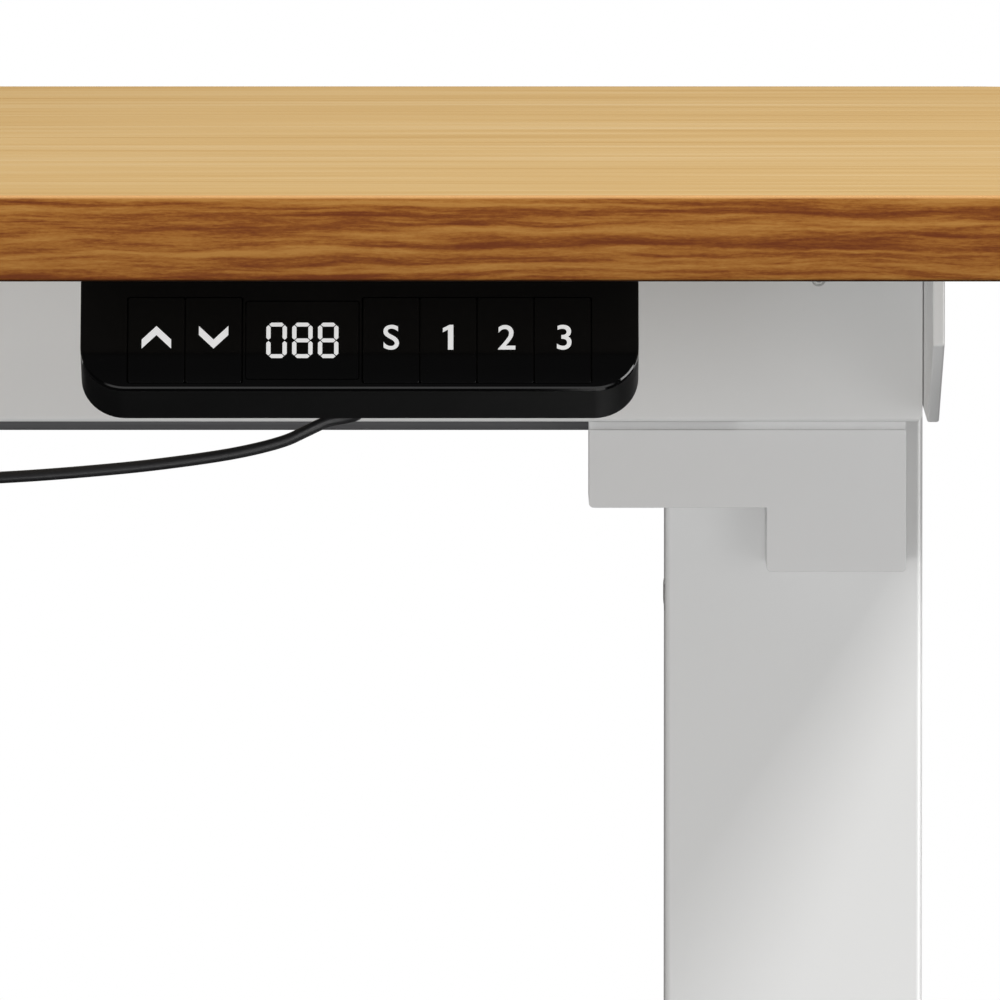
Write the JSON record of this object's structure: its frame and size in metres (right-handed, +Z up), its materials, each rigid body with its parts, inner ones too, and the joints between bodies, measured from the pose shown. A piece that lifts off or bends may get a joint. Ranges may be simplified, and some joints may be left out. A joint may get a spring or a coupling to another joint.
{
  "type": "height adjustable standing desk",
  "caption": "Sit-stand desk: wood-look top on telescoping steel legs, driven by a motor and hex rod, with a black key handset.",
  "frame": {"origin": "on the floor under the middle of the desktop", "axes": "+X to the right along the desktop's length, +Y to the back, +Z up"},
  "size_m": [1.2, 0.6, 0.88],
  "materials": {
    "wood": "satin laminate with streaked grain",
    "white_paint": "satin white powder coat",
    "white_plastic": "moulded white plastic",
    "steel": "turned steel",
    "dark_steel": "dark steel and die casting",
    "black_plastic": "moulded black plastic",
    "gloss_black": "polished black plastic",
    "nylon": "natural nylon",
    "circuit_board": "green circuit board"
  },
  "bodies": {
    "upper_frame": {"desktop": "wood", "front_rail": "white_paint", "rear_rail": "white_paint", "side_bracket_right": "white_paint", "outer_column_right": "white_paint", "glide_sleeve_right": "white_plastic", "spindle_bearing_right": "steel", "gearbox_housing_right": "dark_steel", "side_bracket_left": "white_paint", "outer_column_left": "white_paint", "glide_sleeve_left": "white_plastic", "spindle_bearing_left": "steel", "gearbox_housing_left": "dark_steel", "motor": "dark_steel", "reduction_box": "dark_steel", "motor_cover": "white_plastic", "gearbox_cover": "white_plastic", "control_box": "black_plastic", "control_box_lid": "black_plastic", "handset_housing": "black_plastic", "strain_relief": "black_plastic", "handset_mount": "black_plastic", "handset_lead": "black_plastic", "cable_clip_1": "black_plastic", "cable_clip_2": "black_plastic", "cable_plug": "black_plastic", "control_board": "circuit_board", "handset_board": "circuit_board", "handset_face": "gloss_black", "display_window": "gloss_black"},
    "right_leg": {"inner_column_right": "white_paint", "spindle_nut_right": "nylon", "foot_right": "white_paint", "foot_cap_rear_right": "white_plastic", "foot_cap_front_right": "white_plastic"},
    "left_leg": {"inner_column_left": "white_paint", "spindle_nut_left": "nylon", "foot_left": "white_paint", "foot_cap_rear_left": "white_plastic", "foot_cap_front_left": "white_plastic"},
    "right_spindle": {"spindle_right": "steel", "spindle_gear_right": "steel"},
    "left_spindle": {"spindle_left": "steel", "spindle_gear_left": "steel"},
    "rod": {"drive_rod": "dark_steel", "rod_gear_right": "steel", "rod_gear_left": "steel"},
    "glide_rear_right_foot": {"glide_rear_right": "black_plastic"},
    "glide_front_right_foot": {"glide_front_right": "black_plastic"},
    "glide_rear_left_foot": {"glide_rear_left": "black_plastic"},
    "glide_front_left_foot": {"glide_front_left": "black_plastic"},
    "key_up_cap": {"key_up": "gloss_black"},
    "key_down_cap": {"key_down": "gloss_black"},
    "key_store_cap": {"key_store": "gloss_black"},
    "key_1_cap": {"key_1": "gloss_black"},
    "key_2_cap": {"key_2": "gloss_black"},
    "key_3_cap": {"key_3": "gloss_black"}
  },
  "joints": [
    {"name": "right_lift", "type": "slide", "parent": "upper_frame", "child": "right_leg", "axis": [0, 0, -1], "range_m": [-0.16, 0.3]},
    {"name": "left_lift", "type": "slide", "parent": "upper_frame", "child": "left_leg", "axis": [0, 0, -1], "range_m": [-0.16, 0.3]},
    {"name": "right_spindle_turn", "type": "hinge", "parent": "upper_frame", "child": "right_spindle", "pos_m": [0.502, 0, 0.7976], "axis": [0, 0, 1], "range_deg": [-7300, 13600]},
    {"name": "left_spindle_turn", "type": "hinge", "parent": "upper_frame", "child": "left_spindle", "pos_m": [-0.502, 0, 0.7976], "axis": [0, 0, 1], "range_deg": [-7300, 13600]},
    {"name": "rod_turn", "type": "hinge", "parent": "upper_frame", "child": "rod", "pos_m": [0, -0.0185, 0.7976], "axis": [1, 0, 0], "range_deg": [-7300, 13600]},
    {"name": "glide_rear_right_screw", "type": "slide", "parent": "right_leg", "child": "glide_rear_right_foot", "axis": [0, 0, -1], "range_m": [0, 0.01]},
    {"name": "glide_front_right_screw", "type": "slide", "parent": "right_leg", "child": "glide_front_right_foot", "axis": [0, 0, -1], "range_m": [0, 0.01]},
    {"name": "glide_rear_left_screw", "type": "slide", "parent": "left_leg", "child": "glide_rear_left_foot", "axis": [0, 0, -1], "range_m": [0, 0.01]},
    {"name": "glide_front_left_screw", "type": "slide", "parent": "left_leg", "child": "glide_front_left_foot", "axis": [0, 0, -1], "range_m": [0, 0.01]},
    {"name": "key_up_press", "type": "slide", "parent": "upper_frame", "child": "key_up_cap", "axis": [0, 0.866, -0.5], "range_m": [0, 0.0005], "stiffness_N_per_m": 1500, "springref_m": -0.0003},
    {"name": "key_down_press", "type": "slide", "parent": "upper_frame", "child": "key_down_cap", "axis": [0, 0.866, -0.5], "range_m": [0, 0.0005], "stiffness_N_per_m": 1500, "springref_m": -0.0003},
    {"name": "key_store_press", "type": "slide", "parent": "upper_frame", "child": "key_store_cap", "axis": [0, 0.866, -0.5], "range_m": [0, 0.0005], "stiffness_N_per_m": 1500, "springref_m": -0.0003},
    {"name": "key_1_press", "type": "slide", "parent": "upper_frame", "child": "key_1_cap", "axis": [0, 0.866, -0.5], "range_m": [0, 0.0005], "stiffness_N_per_m": 1500, "springref_m": -0.0003},
    {"name": "key_2_press", "type": "slide", "parent": "upper_frame", "child": "key_2_cap", "axis": [0, 0.866, -0.5], "range_m": [0, 0.0005], "stiffness_N_per_m": 1500, "springref_m": -0.0003},
    {"name": "key_3_press", "type": "slide", "parent": "upper_frame", "child": "key_3_cap", "axis": [0, 0.866, -0.5], "range_m": [0, 0.0005], "stiffness_N_per_m": 1500, "springref_m": -0.0003}
  ],
  "couplings": [
    {"joint": "left_lift", "follows": "right_lift", "ratio": 1},
    {"joint": "right_spindle_turn", "follows": "right_lift", "rad_per_m": 785.4},
    {"joint": "left_spindle_turn", "follows": "right_lift", "rad_per_m": 785.4},
    {"joint": "rod_turn", "follows": "right_lift", "rad_per_m": 785.4}
  ]
}
